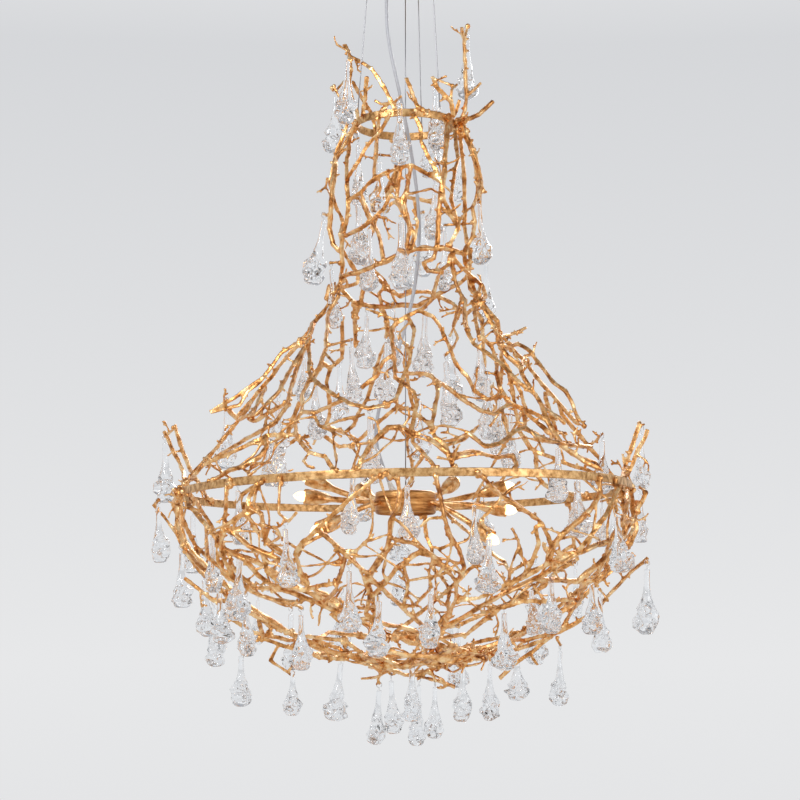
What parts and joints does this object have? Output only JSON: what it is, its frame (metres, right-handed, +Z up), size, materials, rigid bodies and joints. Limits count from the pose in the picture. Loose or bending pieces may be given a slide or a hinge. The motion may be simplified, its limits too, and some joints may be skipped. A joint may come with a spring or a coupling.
{
  "type": "branch chandelier",
  "caption": "Hanging chandelier: bell-shaped cage of cast branches on two rings, clear glass drops on hooks, a hub with bud lamps, steel wires, a loose power cord and a round canopy.",
  "frame": {"origin": "centre of the ceiling plate's top face, where the lamp meets the ceiling", "axes": "+Z up, out of the ceiling plate; the chandelier hangs towards -Z; -Y is the side that the picture shows"},
  "size_m": [1.0139, 0.9524, 1.5984],
  "materials": {
    "aged_gold": "satin cast",
    "clear_glass": "polished, with bubbles",
    "steel": "satin",
    "canopy_paint": "satin",
    "cord_pvc": "semi matt",
    "moulded_plastic": "matt",
    "socket_ceramic": "matt",
    "bulb_glass": "frosted, lit"
  },
  "bodies": {
    "cage": {"branches_bell_back": "aged_gold", "branches_bell_left": "aged_gold", "branches_bell_right": "aged_gold", "branches_bowl_back": "aged_gold", "branches_bowl_centre": "aged_gold", "branches_bowl_left": "aged_gold", "branches_bowl_nest": "aged_gold", "branches_bowl_right": "aged_gold", "branches_crown": "aged_gold", "branches_neck_back": "aged_gold", "branches_neck_front": "aged_gold", "branches_sides": "aged_gold", "branches_waist": "aged_gold", "canopy_cover": "canopy_paint", "canopy_nuts": "steel", "canopy_studs": "steel", "ceiling_plate": "steel", "cord_gland": "moulded_plastic", "crown_ring": "aged_gold", "drops_back": "clear_glass", "drops_bell": "clear_glass", "drops_bottom": "clear_glass", "drops_bowl": "clear_glass", "drops_crown": "clear_glass", "drops_neck": "clear_glass", "drops_rim": "clear_glass", "hangers_lower": "aged_gold", "hangers_upper": "aged_gold", "hub_body": "aged_gold", "hub_cover": "aged_gold", "hub_gland": "moulded_plastic", "hub_terminal": "moulded_plastic", "hub_wire": "steel", "lamp_arms": "aged_gold", "lamp_bulbs": "bulb_glass", "lamp_sleeves": "aged_gold", "lamp_sockets": "socket_ceramic", "main_ring": "aged_gold", "power_cord": "cord_pvc", "suspension_wires": "steel", "terminal_block": "moulded_plastic", "wire_anchors": "steel", "wire_ferrules": "steel"},
    "drop_bottom_centre": {"drop_bottom_centre": "clear_glass"},
    "drop_bottom_centre_left": {"drop_bottom_centre_left": "clear_glass"},
    "drop_bottom_far_left": {"drop_bottom_far_left": "clear_glass"},
    "drop_bottom_left": {"drop_bottom_left": "clear_glass"},
    "drop_bottom_right": {"drop_bottom_right": "clear_glass"},
    "drop_bowl_left_high": {"drop_bowl_left_high": "clear_glass"},
    "drop_bowl_right_high": {"drop_bowl_right_high": "clear_glass"},
    "drop_crown_front_right": {"drop_crown_front_right": "clear_glass"},
    "drop_crown_left": {"drop_crown_left": "clear_glass"},
    "drop_crown_right": {"drop_crown_right": "clear_glass"},
    "drop_neck_left": {"drop_neck_left": "clear_glass"},
    "drop_rim_left_high": {"drop_rim_left_high": "clear_glass"},
    "drop_rim_left_low": {"drop_rim_left_low": "clear_glass"},
    "drop_rim_right_high": {"drop_rim_right_high": "clear_glass"},
    "drop_rim_right_low": {"drop_rim_right_low": "clear_glass"},
    "drop_shoulder_left": {"drop_shoulder_left": "clear_glass"}
  },
  "joints": [
    {"name": "drop_bottom_centre_swing", "type": "hinge", "parent": "cage", "child": "drop_bottom_centre", "pos_m": [0.01249, -0.04431, -1.43243], "axis": [0.0579, 0.9983, 0], "range_deg": [-4, 25]},
    {"name": "drop_bottom_centre_left_swing", "type": "hinge", "parent": "cage", "child": "drop_bottom_centre_left", "pos_m": [-0.05257, 0.015, -1.48006], "axis": [0.2453, 0.9695, 0], "range_deg": [-21, 25]},
    {"name": "drop_bottom_far_left_swing", "type": "hinge", "parent": "cage", "child": "drop_bottom_far_left", "pos_m": [-0.32398, -0.01, -1.41291], "axis": [-0.9707, -0.2404, 0], "range_deg": [-25, 25]},
    {"name": "drop_bottom_left_swing", "type": "hinge", "parent": "cage", "child": "drop_bottom_left", "pos_m": [-0.22092, -0.02, -1.44257], "axis": [0.5077, -0.8616, 0], "range_deg": [-25, 25]},
    {"name": "drop_bottom_right_swing", "type": "hinge", "parent": "cage", "child": "drop_bottom_right", "pos_m": [0.11373, 0.02, -1.42808], "axis": [-0.9987, 0.0519, 0], "range_deg": [-25, 13]},
    {"name": "drop_bowl_left_high_swing", "type": "hinge", "parent": "cage", "child": "drop_bowl_left_high", "pos_m": [-0.44731, 0.025, -1.20819], "axis": [-0.1268, 0.9919, 0], "range_deg": [-9, 25]},
    {"name": "drop_bowl_right_high_swing", "type": "hinge", "parent": "cage", "child": "drop_bowl_right_high", "pos_m": [0.47692, -0.015, -1.24188], "axis": [0.2263, -0.9741, 0], "range_deg": [-25, 25]},
    {"name": "drop_crown_front_right_swing", "type": "hinge", "parent": "cage", "child": "drop_crown_front_right", "pos_m": [0.05963, -0.0289, -0.26659], "axis": [-0.9924, 0.1232, 0], "range_deg": [-5, 10]},
    {"name": "drop_crown_left_swing", "type": "hinge", "parent": "cage", "child": "drop_crown_left", "pos_m": [-0.11647, -0.07, -0.22641], "axis": [-0.9983, -0.0578, 0], "range_deg": [-8, 25]},
    {"name": "drop_crown_right_swing", "type": "hinge", "parent": "cage", "child": "drop_crown_right", "pos_m": [0.12679, 0.035, -0.141], "axis": [-0.0894, 0.996, 0], "range_deg": [-25, 25]},
    {"name": "drop_neck_left_swing", "type": "hinge", "parent": "cage", "child": "drop_neck_left", "pos_m": [-0.16437, -0.02, -0.54282], "axis": [-0.428, 0.9038, 0], "range_deg": [-8, 25]},
    {"name": "drop_rim_left_high_swing", "type": "hinge", "parent": "cage", "child": "drop_rim_left_high", "pos_m": [-0.49001, 0.085, -0.98145], "axis": [-0.9015, -0.4327, 0], "range_deg": [-25, 13]},
    {"name": "drop_rim_left_low_swing", "type": "hinge", "parent": "cage", "child": "drop_rim_left_low", "pos_m": [-0.4903, -0.02, -1.1197], "axis": [0.8887, 0.4585, 0], "range_deg": [-25, 25]},
    {"name": "drop_rim_right_high_swing", "type": "hinge", "parent": "cage", "child": "drop_rim_right_high", "pos_m": [0.47912, 0.08, -0.96345], "axis": [0.1306, 0.9914, 0], "range_deg": [-25, 8]},
    {"name": "drop_rim_right_low_swing", "type": "hinge", "parent": "cage", "child": "drop_rim_right_low", "pos_m": [0.47053, 0.035, -1.0895], "axis": [-0.2272, 0.9738, 0], "range_deg": [-25, 15]},
    {"name": "drop_shoulder_left_swing", "type": "hinge", "parent": "cage", "child": "drop_shoulder_left", "pos_m": [-0.36006, 0.02, -0.91329], "axis": [-0.2159, 0.9764, 0], "range_deg": [-25, 25]}
  ]
}
